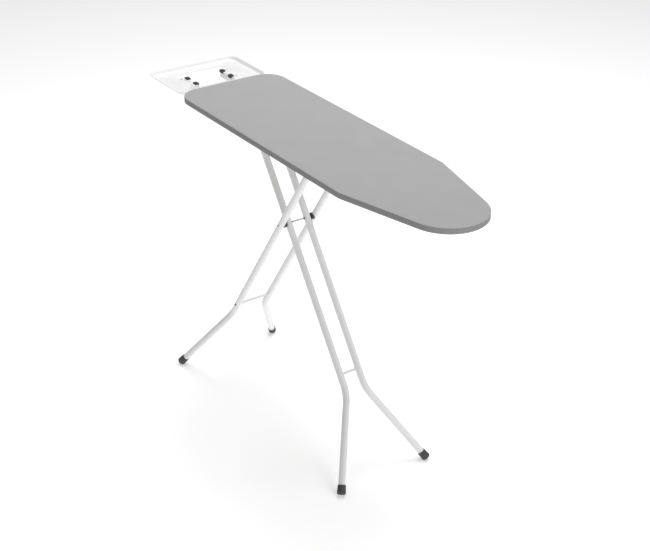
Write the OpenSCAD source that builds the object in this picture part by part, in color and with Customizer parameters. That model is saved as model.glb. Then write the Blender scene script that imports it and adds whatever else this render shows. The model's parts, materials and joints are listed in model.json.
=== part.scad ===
// Folding ironing board: a padded board on two crossing pairs of steel legs, with an iron rest at its tail.
// Millimetres. The floor is z = 0, +X points to the nose, and the origin is under the middle of the outline.

/* [Board] */
// Length of the padded board, tail to nose
board_l = 1100; // [1090:2:1130]
// Width of the padded board
board_w = 330; // [324:2:340]
// Height of the ironing surface above the floor
board_top = 914.5; // [914:0.5:915]
// Depth of the visible edge of the cover
edge_h = 16.6; // [16:0.2:17]
// Corner radius of the tail
tail_r = 61; // [50:1:75]
// Distance from the tail to where the sides start to taper
taper_start = 783; // [775:1:790]
// Radius that softens the start of the taper
taper_r = 60; // [40:5:80]
// Radius of the nose
nose_r = 109; // [100:1:115]

/* [Layers] */
// Thickness of the cotton cover
cover_t = 1; // [0.8:0.1:1.2]
// Width of the hem turned in under the frame
hem_w = 25; // [18:1:30]
// Thickness of the foam pad
pad_t = 3.5; // [3:0.1:3.6]
// Thickness of the steel mesh panel
mesh_t = 0.8; // [0.8:0.1:1.2]
// Width and height of the square tube round the edge of the board
rim_w = 10.8; // [10:0.1:10.8]

/* [Legs] */
// Diameter of the leg tubes
tube_d = 20; // [19:0.5:20]
// Wall of the leg tubes
tube_wall = 1.2; // [1:0.1:1.5]
// Distance from the tail to the hinge of the inner legs
hinge_from_tail = 197; // [196:0.5:198]
// Distance from the tail to the sliding bar of the outer legs
bar_from_tail = 530; // [529:0.5:531]
// Height of the hinge and of the sliding bar
hinge_z = 870; // [869:0.5:871]
// Slope of the inner legs from the floor, in degrees
inner_slope = 54.5; // [54:0.1:55]
// Slope of the outer legs from the floor, in degrees
outer_slope = 57.7; // [57.5:0.1:58]
// Half the distance between the inner tubes
inner_y = 31.5; // [31:0.1:32]
// Half the distance between the outer tubes
outer_y = 57; // [56.5:0.1:57.5]
// Half the distance between the inner feet
inner_foot_y = 154.5; // [145:0.1:158]
// Half the distance between the outer feet
outer_foot_y = 176.6; // [168:0.1:180]
// Height at which the tubes bend outwards
bend_z = 210; // [200:1:225]
// Radius of that bend
bend_r = 130; // [100:5:150]
// Height of the two lower crossbars
crossbar_z = 257; // [254:1:268]
// Slope left in the inner legs when folded, in degrees
folded_slope = 4; // [4:0.5:6]

/* [Iron rest] */
// Reach of the iron rest beyond the tail
rest_reach = 200; // [190:2:210]
// Width of the iron rest over its rim
rest_w = 300; // [290:2:304]
// Height of the rim of the iron rest above the floor
rest_top = 908; // [907:0.5:909]
// Corner radius of the rim
rest_r = 29; // [26:1:34]
// Depth of the tray under its rim
rest_depth = 9.5; // [8:0.5:9.5]

/* [Hidden] */

$fn = 64;
EPS = 0.01;
RUN = 0.05;      // radial clearance of a pin in its bore
GAP = 0.2;       // clearance between pieces that only lie together
CLEAR = 0.4;     // clearance between pieces that move past each other

// Board outline: circle centres, measured from the board's middle line
tail_x = (rest_reach - board_l) / 2;
nose_x = tail_x + board_l;
half_w = board_w / 2;
tail_c = [tail_x + tail_r, half_w - tail_r];
taper_c = [tail_x + taper_start - taper_r / 8, half_w - taper_r];
nose_c = [nose_x - nose_r, 0];
to_nose = nose_c - taper_c;
taper_n = atan2(to_nose[1], to_nose[0]) + acos((taper_r - nose_r) / norm(to_nose));

// Layers of the board, from the top
pad_top = board_top - cover_t;
pad_bottom = pad_top - pad_t;
edge_bottom = board_top - edge_h;
rim_wall = 1;
rim_inset = cover_t + GAP;
rim_bottom = edge_bottom + cover_t + GAP;
mesh_bottom = pad_bottom - 0.4 - mesh_t;
mesh_inset = rim_inset + rim_w + GAP / 2;
strap_t = 2.5;
strap_w = 26;
strap_bottom = mesh_bottom - strap_t;

// Flanges that are riveted to the straps, and the rivets in them
flange_t = 2;
flange_z = strap_bottom - flange_t;
flange_w = 15;                               // width of a flange past its folded edge
tab_l = 24;                                  // length of a flange of the rack or of an arm
rivet_r = 2;
rivet_bore_r = rivet_r + RUN;
rivet_head_r = 3.8;
rivet_head_h = 1.6;
rivet_out = 8;                               // from a folded edge to its rivets

// Legs
tube_r = tube_d / 2;
hinge_x = tail_x + hinge_from_tail;
bar_x = tail_x + bar_from_tail;
pivot_drop = (bar_x - hinge_x) / (1 / tan(inner_slope) + 1 / tan(outer_slope));
pivot_x = hinge_x + pivot_drop / tan(inner_slope);
pivot_z = hinge_z - pivot_drop;
inner_arm = pivot_drop / sin(inner_slope);   // hinge to pivot
outer_arm = pivot_drop / sin(outer_slope);   // sliding bar to pivot
hinge_pin_r = 4;
bar_r = 4;
pivot_pin_r = 2.5;
crossbar_r = 4;
tube_past_pin = 9;                           // length of tube above its top pin
sole_gap = 14;                               // tube end to floor, along the tube
sleeve_l = 34;                               // rubber cap's mouth to floor, along the tube
sleeve_r = tube_r + 1.6;
toe_r = tube_r + 2.5;                        // radius of the cap near its end
toe_round = 5;                               // rounding of the cap's end
toe_dome = 0.5;
sole_cut = 1.1;                              // depth of the flat where the rounding meets the floor
inner_bores = [[0, hinge_pin_r + RUN], [inner_arm, pivot_pin_r + RUN]];
outer_bores = [[0, bar_r + RUN], [outer_arm, pivot_pin_r + RUN]];

// Hinge of the inner legs
bracket_t = 2.5;
bracket_l = 36;
bracket_y = inner_y + tube_r + 1.8;
bracket_eye_r = 10;
bracket_rivet_x = 9;
pin_past = 5;                                // length of a rod past what it holds
cap_wall = 2.2;

// Pivot
pivot_end = outer_y + tube_r + 2.4;
pivot_cap_r = 3.4;
pivot_washer_r = 3.8;
pivot_washer_t = 1.2;

// Rack: where the bar rides for a given height of the hinge
function bar_at(inner_a) =
    hinge_x + inner_arm * cos(inner_a)
    + outer_arm * cos(asin(inner_arm * sin(inner_a) / outer_arm));
folded_bar_x = bar_at(folded_slope);
leg_run = hinge_z / sin(inner_slope);
notch_angles = [for (drop = [0:40:240]) asin((hinge_z - drop) / leg_run)];   // a board height per notch
rack_y = 15;
rack_t = 2;
rack_bottom = hinge_z - 12;
rack_from = bar_x - 22;
rack_to = folded_bar_x + 24;
slot_low = hinge_z - bar_r - CLEAR;
slot_high = hinge_z + bar_r + 2.8;
notch_depth = 4;
stop_l = 8;
stop_h = 20;

// Lever
lever_x = tail_x + 600;
lever_z = strap_bottom - 8;
lever_r = 3;
lever_bracket_y = 92;
lever_bracket_l = 26;
lever_rivet_x = 8;
hub_r = lever_r + 2;
paddle_y = [103, 135];
paddle_w = paddle_y[1] - paddle_y[0];
paddle_t = 2;
paddle_l = 59;
paddle_slope = 12;                           // the paddle hangs by this angle, and lies level when pulled
grip_l = 36;
grip_wall = 2;
finger_w = 10;
finger_reach = lever_x - bar_x - 6;
finger_tip_z = hinge_z + bar_r + 3;
spring_wire_r = 0.7;
spring_r = lever_r + 0.4 + spring_wire_r;
spring_turns = 8;

// Iron rest
rest_from = tail_x - rest_reach;
rest_to = tail_x - 2;
rest_t = 1.2;
rest_flare = 7;
rest_lip = 2;
rest_floor = rest_top - rest_depth - rest_t;
rest_c = [[rest_from + rest_r, rest_to - rest_r], rest_w / 2 - rest_r];
slot_far = [rest_from + 43, rest_from + 70];
slot_near = [rest_from + 143, rest_from + 158];
tab_y = 57;
slot_far_y = 80;
slot_near_y = 89;
arm_y = 59;
arm_t = 3;
arm_h = 20;
arm_ledge = 24;                              // width of the arm's flange under the tab
arm_from = slot_far[1] + 3;
pad_l = 16;
pad_w = 12;
pad_over = 3;                                // how far a pad stands over the tab's edge and its faces
pad_x = [slot_far[1] + 14, slot_near[0] - 11];
rest_screw_x = [slot_far[1] + 9, slot_near[0] - 7];
rest_screw_y = arm_y + arm_t / 2 + 16;

// Middle of the straps, tail to nose
strap_tail_x = tail_x + 85;
strap_rack_tail_x = bar_x - 4;
strap_rack_nose_x = folded_bar_x + 6;

steel_white = [0.92, 0.92, 0.93];
steel_grey = [0.62, 0.63, 0.65];
black_rubber = [0.16, 0.16, 0.17];
fabric_grey = [0.70, 0.70, 0.71];

// ---------- shapes used by several parts ----------

// Points of an arc, both ends included
function arc_points(c, r, from, to, steps) =
    [for (i = [0:steps]) c + r * [cos(from + (to - from) * i / steps), sin(from + (to - from) * i / steps)]];

// Outline of the board, moved inwards by inset: arcs at the tail, the start of the taper and the nose
module board_outline(inset = 0) {
    half = concat(
        arc_points(tail_c, tail_r - inset, 180, 90, 12),
        arc_points(taper_c, taper_r - inset, 90, taper_n, 3),
        arc_points(nose_c, nose_r - inset, taper_n, 0, 18)
    );
    polygon(concat(half, [for (i = [len(half) - 2:-1:0]) [half[i][0], -half[i][1]]]));
}

// A rod along Y from y0 to y1
module rod_y(r, y0, y1) {
    translate([0, y0, 0]) rotate([-90, 0, 0]) cylinder(r = r, h = y1 - y0);
}

// Axis of one leg tube as a solid of radius r: local +X runs down the leg, +Y outwards
module leg_run_solid(r, y, foot_y, s_from, s_bend, s_floor, past_end) {
    a = atan2(foot_y - y, s_floor - s_bend);
    cut = bend_r * tan(a / 2);
    flare_l = norm([s_floor - s_bend, foot_y - y]);
    translate([s_from, y, 0]) rotate([0, 90, 0]) cylinder(r = r, h = s_bend - cut - s_from);
    translate([s_bend - cut, y + bend_r, 0]) rotate([0, 0, -90]) rotate_extrude(angle = a)
        translate([bend_r, 0]) circle(r = r);
    translate([s_bend, y, 0]) rotate([0, 0, a]) translate([cut, 0, 0]) rotate([0, 90, 0])
        cylinder(r = r, h = flare_l - cut - past_end);
}

// Places children in the frame of the inner or the outer legs; side 1 is +Y and -1 is -Y
module inner_place(side = 1) {
    translate([hinge_x, 0, hinge_z]) rotate([0, inner_slope, 0])
        mirror([0, side < 0 ? 1 : 0, 0]) children();
}
module outer_place(side = 1) {
    translate([bar_x, 0, hinge_z]) rotate([0, 180 - outer_slope, 0])
        mirror([0, side < 0 ? 1 : 0, 0]) children();
}

function s_at(z, slope) = (hinge_z - z) / sin(slope);

// One leg tube with its cross bores, in its frame's place
module leg_tube(y, foot_y, slope, bores) {
    difference() {
        leg_run_solid(tube_r, y, foot_y, -tube_past_pin, s_at(bend_z, slope), s_at(0, slope), sole_gap);
        leg_run_solid(tube_r - tube_wall, y, foot_y, -tube_past_pin - 1, s_at(bend_z, slope),
            s_at(0, slope), sole_gap - 1);
        for (b = bores) translate([b[0], 0, 0]) rod_y(b[1], y - tube_r - 1, y + tube_r + 1);
    }
}

// Rubber cap on a tube's foot: a sleeve with a closed, rounded end that stands on its lower edge
module foot_cap(y, foot_y, slope) {
    s_floor = s_at(0, slope);
    a = atan2(foot_y - y, s_floor - s_at(bend_z, slope));
    sin_f = sin(slope) * cos(a);             // slope of the flared part of the tube
    core_r = toe_r - toe_round;
    toe = -(core_r * sqrt(1 - sin_f * sin_f) + toe_round - sole_cut) / sin_f;
    translate([s_floor, foot_y, 0]) rotate([0, 0, a]) rotate([0, 90, 0]) difference() {
        rotate_extrude() polygon(concat(
            [[0, -sleeve_l], [sleeve_r - 0.7, -sleeve_l], [sleeve_r, 0.7 - sleeve_l]],
            arc_points([core_r, toe], toe_round, 0, 90, 8),
            [[0, toe + toe_round + toe_dome]]
        ));
        translate([0, 0, -sleeve_l - 1]) cylinder(r = tube_r + RUN, h = sleeve_l + 1 - sole_gap + GAP);
    }
}

// Keeps what is above the floor
module above_floor() {
    intersection() {
        children();
        translate([-1000, -500, 0]) cube([2000, 1000, 1000]);
    }
}

// Plastic plug in the top end of a tube
module end_plug(y) {
    translate([-tube_past_pin, y, 0]) {
        rotate([0, -90, 0]) cylinder(r = tube_r - 0.5, h = 1.6);
        translate([-0.8, 0, 0]) rotate([0, 90, 0]) cylinder(r = tube_r - tube_wall - RUN, h = 4.4);
    }
}

// ---------- board ----------

module cover() {
    color(fabric_grey) difference() {
        translate([0, 0, edge_bottom]) linear_extrude(edge_h) board_outline();
        translate([0, 0, edge_bottom + cover_t]) linear_extrude(edge_h - 2 * cover_t) board_outline(cover_t);
        translate([0, 0, edge_bottom - 1]) linear_extrude(cover_t + 2) board_outline(hem_w);
    }
}

module foam_pad() {
    color([0.93, 0.90, 0.80]) translate([0, 0, pad_bottom + GAP / 2])
        linear_extrude(pad_t - GAP) board_outline(cover_t + GAP);
}

module mesh_panel() {
    color(steel_grey) translate([0, 0, mesh_bottom]) linear_extrude(mesh_t) board_outline(mesh_inset);
}

// Square tube bent to the outline of the board
module rim_tube() {
    color(steel_white) difference() {
        rim_ring(0);
        rim_ring(rim_wall);
    }
}

module rim_ring(wall) {
    translate([0, 0, rim_bottom + wall]) linear_extrude(rim_w - 2 * wall) difference() {
        board_outline(rim_inset + wall);
        board_outline(rim_inset + rim_w - wall);
    }
}

// Half the free width inside the rim tube, a distance x along the board
function inside_y(x) = half_w - rim_inset - rim_w - GAP
    - max(0, x - taper_c[0]) / tan(taper_n);

// Flat strap across the underside of the mesh, welded to the rim tube at both ends
module cross_strap(x, w = strap_w) {
    y = inside_y(x + w / 2);
    color(steel_white) difference() {
        translate([x - w / 2, -y, strap_bottom]) cube([w, 2 * y, strap_t - EPS]);
        rivet_bores(x - w / 2, x + w / 2);
    }
}

function rivet_holes() = [
    for (side = [-1, 1]) each [
        [strap_tail_x, side * (arm_y + arm_t + rivet_out)],
        for (dx = [-bracket_rivet_x, bracket_rivet_x])
            [hinge_x + dx, side * (bracket_y + bracket_t + rivet_out)],
        for (x = [strap_rack_tail_x, strap_rack_nose_x]) [x, side * (rack_y + rack_t + rivet_out)],
    ],
    for (dx = [-lever_rivet_x, lever_rivet_x]) [lever_x + dx, -lever_bracket_y - bracket_t - rivet_out],
];

// Bores for the rivets whose middles lie in one flange or strap, from x0 to x1
module rivet_bores(x0, x1) {
    for (hole = rivet_holes()) if (hole[0] > x0 && hole[0] < x1)
        translate([hole[0], hole[1], flange_z - 1]) cylinder(r = rivet_bore_r, h = flange_t + strap_t + 2);
}

// Rivets: domed head under the flange, shank through the flange and the strap
module rivets() {
    color(steel_grey) for (hole = rivet_holes()) translate([hole[0], hole[1], flange_z]) {
        translate([0, 0, -rivet_head_h]) cylinder(r1 = 2.6, r2 = rivet_head_r, h = rivet_head_h - EPS);
        translate([0, 0, -0.1]) cylinder(r = rivet_r, h = flange_t + strap_t);
    }
}

// ---------- hinge of the inner legs ----------

// Pressed bracket: a web with the eye for the hinge rod, and a flange under the strap
module leg_bracket(side) {
    half_l = bracket_l / 2;
    color(steel_white) mirror([0, side < 0 ? 1 : 0, 0]) difference() {
        union() {
            translate([hinge_x - half_l, bracket_y, flange_z])
                cube([bracket_l, bracket_t + flange_w, flange_t - EPS]);
            translate([0, bracket_y, 0]) rotate([90, 0, 0]) mirror([0, 0, 1]) linear_extrude(bracket_t) {
                polygon([
                    [hinge_x - half_l, flange_z + flange_t / 2], [hinge_x - bracket_eye_r, hinge_z],
                    [hinge_x + bracket_eye_r, hinge_z], [hinge_x + half_l, flange_z + flange_t / 2],
                ]);
                translate([hinge_x, hinge_z]) circle(r = bracket_eye_r);
            }
        }
        translate([hinge_x, 0, hinge_z]) rod_y(hinge_pin_r + RUN, bracket_y - 1, bracket_y + bracket_t + 1);
        rivet_bores(hinge_x - half_l, hinge_x + half_l);
    }
}

module hinge_rod() {
    end = bracket_y + pin_past;
    color(steel_grey) translate([hinge_x, 0, hinge_z]) rod_y(hinge_pin_r, -end, end);
}

module hinge_rod_caps() {
    color(black_rubber) translate([hinge_x, 0, hinge_z]) for (side = [0, 1]) mirror([0, side, 0])
        difference() {
            rod_y(hinge_pin_r + cap_wall, bracket_y + bracket_t + GAP, bracket_y + pin_past + 1.5);
            rod_y(hinge_pin_r + RUN, bracket_y, bracket_y + pin_past + RUN);
        }
}

// ---------- height rack ----------

// Side plate of the rack: the sliding bar runs in its slot, under a row of notches
module rack_plate(side) {
    color(steel_grey) mirror([0, side < 0 ? 1 : 0, 0]) difference() {
        union() {
            translate([rack_from, rack_y, rack_bottom])
                cube([rack_to - rack_from, rack_t, strap_bottom - rack_bottom - EPS]);
            for (x = [strap_rack_tail_x, strap_rack_nose_x])
                translate([x - tab_l / 2, rack_y + EPS, flange_z])
                    cube([tab_l, rack_t + flange_w, flange_t - EPS]);
        }
        translate([0, rack_y - 1, 0]) rotate([90, 0, 0]) mirror([0, 0, 1]) linear_extrude(rack_t + 2) {
            translate([bar_x, slot_low]) square([folded_bar_x - bar_x, slot_high - slot_low]);
            for (x = [bar_x, folded_bar_x]) translate([x, (slot_low + slot_high) / 2])
                circle(d = slot_high - slot_low);
            for (a = notch_angles) translate([bar_at(a), slot_high - EPS])
                rotate(45) square(notch_depth * sqrt(2), center = true);
        }
        translate([lever_x, 0, lever_z]) rod_y(lever_r + RUN, rack_y - 1, rack_y + rack_t + 1);
        rivet_bores(rack_from, rack_to);
    }
}

// Plastic buffer between the plates, past an end of the bar's travel
module rack_stop(x) {
    color(black_rubber) translate([x - stop_l / 2, -rack_y + GAP, rack_bottom + 3])
        cube([stop_l, 2 * (rack_y - GAP), stop_h]);
}

// ---------- lever ----------

// Bracket that carries the shaft near the edge of the board
module lever_bracket() {
    half_l = lever_bracket_l / 2;
    below = 7;
    color(steel_white) difference() {
        union() {
            translate([lever_x - half_l, -lever_bracket_y - bracket_t - flange_w, flange_z])
                cube([lever_bracket_l, bracket_t + flange_w, flange_t - EPS]);
            translate([lever_x - half_l, -lever_bracket_y - bracket_t, lever_z - below])
                cube([lever_bracket_l, bracket_t, flange_z + flange_t / 2 - lever_z + below]);
        }
        translate([lever_x, 0, lever_z])
            rod_y(lever_r + RUN, -lever_bracket_y - bracket_t - 1, -lever_bracket_y + 1);
        rivet_bores(lever_x - half_l, lever_x + half_l);
    }
}

// Return spring round the shaft, its turns lying side by side
module lever_spring() {
    color(steel_grey) translate([lever_x, -lever_bracket_y + 2, lever_z]) rotate([-90, 0, 0])
        for (turn = [0:spring_turns - 1]) translate([0, 0, turn * 1.9 * spring_wire_r]) rotate_extrude()
            translate([spring_r, 0]) circle(r = spring_wire_r, $fn = 16);
}

module lever_shaft() {
    color(steel_grey) translate([lever_x, 0, lever_z]) rod_y(lever_r, -paddle_y[1] + 2, rack_y + rack_t + 4);
}

// Places children along the paddle: X runs from the shaft towards the tail and down
module paddle_place() {
    translate([lever_x, -paddle_y[1], lever_z]) rotate([0, 180 - paddle_slope, 0]) children();
}

// Flat paddle that hangs from a hub on the shaft
module lever_paddle() {
    color(steel_white) paddle_place() difference() {
        union() {
            rod_y(hub_r, 0, paddle_w);
            translate([0, 0, -paddle_t / 2]) cube([paddle_l, paddle_w, paddle_t]);
        }
        rod_y(lever_r + EPS, -1, paddle_w + 1);
    }
}

// Moulded grip pushed over the paddle's free end
module lever_grip() {
    thick = paddle_t + 2 * grip_wall;
    color(black_rubber) paddle_place() difference() {
        translate([paddle_l - grip_l, -grip_wall, -thick / 2])
            cube([grip_l + grip_wall, paddle_w + 2 * grip_wall, thick]);
        translate([0, -GAP / 2, -(paddle_t + GAP) / 2])
            cube([paddle_l + GAP / 2, paddle_w + GAP, paddle_t + GAP]);
    }
}

// Finger on the shaft between the rack plates, its tip over the sliding bar
module latch_finger() {
    tip = [-finger_reach, finger_tip_z - lever_z];
    color(steel_grey) translate([lever_x, finger_w / 2, lever_z]) rotate([90, 0, 0]) difference() {
        linear_extrude(finger_w) {
            circle(r = lever_r + 4);
            polygon([
                [0, lever_r + 3.5], tip + [4, 8], tip + [0, 5], tip, tip + [7, 0], tip + [14, 4],
                [0, -lever_r - 3.5],
            ]);
        }
        translate([0, 0, -1]) cylinder(r = lever_r + EPS, h = finger_w + 2);
    }
}

// ---------- iron rest ----------

// Flared wall of the tray, drawn as (distance from the corner centre, height)
module rest_wall() {
    r = rest_r - rest_lip - rest_flare;
    polygon([
        [r - 0.4, rest_floor], [r + 0.4, rest_floor], [r + rest_flare + 0.6, rest_top - rest_t],
        [r + rest_flare + rest_lip, rest_top - rest_t], [r + rest_flare + rest_lip, rest_top],
        [r + rest_flare - 0.4, rest_top], [r - 0.4, rest_floor + rest_t],
    ]);
}

module iron_rest_tray() {
    r = rest_r - rest_lip - rest_flare;
    x0 = rest_c[0][0];
    x1 = rest_c[0][1];
    y = rest_c[1];
    color(steel_white) {
        difference() {
            translate([0, 0, rest_floor]) linear_extrude(rest_t) {
                translate([x0, -y - r]) square([x1 - x0, 2 * (y + r)]);
                translate([x0 - r, -y]) square([x1 - x0 + 2 * r, 2 * y]);
                for (x = [x0, x1], cy = [-y, y]) translate([x, cy]) circle(r = r);
            }
            translate([0, 0, rest_floor - 1]) linear_extrude(rest_t + 2) {
                translate([slot_far[0], -slot_far_y]) square([slot_far[1] - slot_far[0], 2 * slot_far_y]);
                translate([slot_near[0], -slot_near_y])
                    square([slot_near[1] - slot_near[0], 2 * slot_near_y]);
                translate([slot_far[0] + 1, -tab_y]) square([slot_near[1] - slot_far[0] - 2, 2 * tab_y]);
            }
        }
        for (cx = [x0, x1], side = [-1, 1])
            translate([cx, side * y, 0])
                rotate([0, 0, side > 0 ? (cx == x0 ? 90 : 0) : (cx == x0 ? 180 : 270)])
                    rotate_extrude(angle = 90) rest_wall();
        for (side = [0, 1]) mirror([0, side, 0])
            translate([x0, y, 0]) rotate([90, 0, 90]) linear_extrude(x1 - x0) rest_wall();
        translate([x1, y, 0]) rotate([90, 0, 0]) linear_extrude(2 * y) rest_wall();
        translate([x0, -y, 0]) rotate([90, 0, 180]) linear_extrude(2 * y) rest_wall();
    }
}

// Arm on edge under the tray: a flange carries the tab, and the raised end has a foot riveted to the strap
module iron_rest_arm(side) {
    top = rest_floor - EPS;
    foot_x = strap_tail_x - tab_l / 2;
    color(steel_white) mirror([0, side < 0 ? 1 : 0, 0]) difference() {
        union() {
            translate([arm_from, arm_y, top - arm_h]) cube([foot_x + tab_l - arm_from, arm_t, arm_h]);
            translate([arm_from, arm_y, top - arm_t]) cube([slot_near[0] - 3 - arm_from, arm_ledge, arm_t]);
            translate([foot_x, arm_y, top - arm_h])
                cube([tab_l, arm_t, flange_z + flange_t / 2 - top + arm_h]);
            translate([foot_x, arm_y, flange_z]) cube([tab_l, arm_t + flange_w, flange_t - EPS]);
        }
        rivet_bores(foot_x, foot_x + tab_l);
    }
}

// Screws that hold the tray on its arms, seen as domed heads on the tray's floor
module iron_rest_screws() {
    color(steel_grey) for (side = [-1, 1], x = rest_screw_x)
        translate([x, side * rest_screw_y, rest_floor + rest_t + EPS])
            cylinder(r1 = 3.6, r2 = 2.4, h = 1.6);
}

// Silicone pad clipped over the edge of a tab
module rest_pad(x, side) {
    color(black_rubber) mirror([0, side < 0 ? 1 : 0, 0]) difference() {
        translate([x - pad_l / 2, tab_y - pad_over, rest_floor - pad_over])
            cube([pad_l, pad_w, rest_t + 2 * pad_over + 1]);
        translate([x - pad_l, tab_y - GAP, rest_floor - GAP / 2]) cube([2 * pad_l, pad_w, rest_t + GAP]);
        translate([x - pad_l, arm_y - GAP, rest_floor - pad_over - 1])
            cube([2 * pad_l, pad_w, pad_over + 1 + GAP]);
    }
}

// ---------- inner legs ----------

module inner_tube(side) {
    color(steel_white) inner_place(side) leg_tube(inner_y, inner_foot_y, inner_slope, inner_bores);
}

// Round bar welded between two tubes, its ends coped to fit them
module crossbar(y, slope) {
    s = s_at(crossbar_z, slope);
    translate([s, 0, 0]) difference() {
        rod_y(crossbar_r, -y, y);
        for (side = [-1, 1]) translate([-20, side * y, 0]) rotate([0, 90, 0])
            cylinder(r = tube_r + EPS, h = 40);
    }
}

module inner_crossbar() {
    color(steel_white) inner_place() crossbar(inner_y, inner_slope);
}

module inner_foot(side) {
    color(black_rubber) above_floor() inner_place(side) foot_cap(inner_y, inner_foot_y, inner_slope);
}

module inner_end_plugs() {
    color(black_rubber) for (side = [-1, 1]) inner_place(side) end_plug(inner_y);
}

// Nylon washers between the inner tubes and the brackets
module hinge_washers() {
    color("white") for (side = [-1, 1]) inner_place(side) difference() {
        rod_y(8, inner_y + tube_r + GAP, bracket_y - CLEAR);
        rod_y(hinge_pin_r + RUN, inner_y, bracket_y);
    }
}

module pivot_rod() {
    color(steel_grey) translate([pivot_x, 0, pivot_z]) rod_y(pivot_pin_r, -pivot_end, pivot_end);
}

module pivot_cap_nuts() {
    color(steel_grey) translate([pivot_x, 0, pivot_z]) for (side = [0, 1]) mirror([0, side, 0])
        difference() {
            rod_y(pivot_cap_r, outer_y + tube_r + CLEAR, pivot_end + 0.8);
            rod_y(pivot_pin_r + EPS, outer_y, pivot_end + EPS);
        }
}

// Push-on washers that hold the rod against the inner tubes
module pivot_washers() {
    color(black_rubber) translate([pivot_x, 0, pivot_z]) for (side = [0, 1]) mirror([0, side, 0])
        difference() {
            rod_y(pivot_washer_r, inner_y - tube_r - GAP / 2 - pivot_washer_t, inner_y - tube_r - GAP / 2);
            rod_y(pivot_pin_r + EPS, 0, inner_y);
        }
}

// ---------- outer legs ----------

module outer_tube(side) {
    color(steel_white) outer_place(side) leg_tube(outer_y, outer_foot_y, outer_slope, outer_bores);
}

module outer_crossbar() {
    color(steel_white) outer_place() crossbar(outer_y, outer_slope);
}

// Screws through the outer tubes into the crossbar's ends
module crossbar_screws() {
    color(black_rubber) for (side = [-1, 1]) outer_place(side)
        translate([s_at(crossbar_z, outer_slope), 0, 0])
            difference() {
                rod_y(3.4, outer_y + tube_r - 1.4, outer_y + tube_r + 1.6);
                translate([-20, outer_y, 0]) rotate([0, 90, 0]) cylinder(r = tube_r + EPS, h = 40);
            }
}

module outer_foot(side) {
    color(black_rubber) above_floor() outer_place(side) foot_cap(outer_y, outer_foot_y, outer_slope);
}

module outer_end_plugs() {
    color(black_rubber) for (side = [-1, 1]) outer_place(side) end_plug(outer_y);
}

// Spacer that keeps the inner and outer tubes apart; its saddle holds the outer tube
module pivot_spacer(side) {
    color(black_rubber) outer_place(side) difference() {
        translate([outer_arm, 0, 0]) rod_y(tube_r, inner_y + tube_r + CLEAR, outer_y - tube_r / 2);
        translate([outer_arm - 40, outer_y, 0]) rotate([0, 90, 0]) cylinder(r = tube_r + EPS, h = 80);
        translate([outer_arm, 0, 0]) rod_y(pivot_pin_r + RUN, inner_y, outer_y);
    }
}

module sliding_bar() {
    end = outer_y + tube_r + pin_past - 1;
    color(steel_grey) translate([bar_x, 0, hinge_z]) rod_y(bar_r, -end, end);
}

module bar_caps() {
    color(black_rubber) translate([bar_x, 0, hinge_z]) for (side = [0, 1]) mirror([0, side, 0])
        difference() {
            rod_y(bar_r + cap_wall, outer_y + tube_r + GAP, outer_y + tube_r + pin_past + 0.5);
            rod_y(bar_r + EPS, outer_y, outer_y + tube_r + pin_past - 1 + EPS);
        }
}

// Nylon collars on the sliding bar, beside the rack plates
module bar_rollers() {
    color("white") translate([bar_x, 0, hinge_z]) for (side = [0, 1]) mirror([0, side, 0])
        difference() {
            rod_y(bar_r + 2.5, rack_y + rack_t + CLEAR, rack_y + rack_t + 3.4);
            rod_y(bar_r + EPS, rack_y, rack_y + rack_t + 4);
        }
}

cover();
foam_pad();
mesh_panel();
rim_tube();
cross_strap(strap_tail_x);  // strap_tail
cross_strap(hinge_x, 40);  // strap_hinge
cross_strap(strap_rack_tail_x);  // strap_rack_tail
cross_strap(lever_x, 30);  // strap_lever
cross_strap(strap_rack_nose_x);  // strap_rack_nose
leg_bracket(1);  // leg_bracket_left
leg_bracket(-1);  // leg_bracket_right
hinge_rod();
hinge_rod_caps();
rack_plate(1);  // rack_plate_left
rack_plate(-1);  // rack_plate_right
rack_stop(rack_from + 5);  // rack_stop_tail
rack_stop(rack_to - 5);  // rack_stop_nose
rivets();
lever_bracket();
lever_spring();
iron_rest_tray();
iron_rest_arm(1);  // iron_rest_arm_left
iron_rest_arm(-1);  // iron_rest_arm_right
iron_rest_screws();
rest_pad(pad_x[0], 1);  // rest_pad_far_left
rest_pad(pad_x[0], -1);  // rest_pad_far_right
rest_pad(pad_x[1], 1);  // rest_pad_near_left
rest_pad(pad_x[1], -1);  // rest_pad_near_right
inner_tube(1);  // inner_tube_left
inner_tube(-1);  // inner_tube_right
inner_crossbar();
inner_foot(1);  // inner_foot_left
inner_foot(-1);  // inner_foot_right
inner_end_plugs();
hinge_washers();
pivot_rod();
pivot_cap_nuts();
pivot_washers();
outer_tube(1);  // outer_tube_left
outer_tube(-1);  // outer_tube_right
outer_crossbar();
crossbar_screws();
outer_foot(1);  // outer_foot_left
outer_foot(-1);  // outer_foot_right
outer_end_plugs();
pivot_spacer(1);  // pivot_spacer_left
pivot_spacer(-1);  // pivot_spacer_right
sliding_bar();
bar_caps();
bar_rollers();
lever_shaft();
lever_paddle();
lever_grip();
latch_finger();
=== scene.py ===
import json
import math

import bmesh
import bpy
from mathutils import Matrix, Vector

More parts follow.
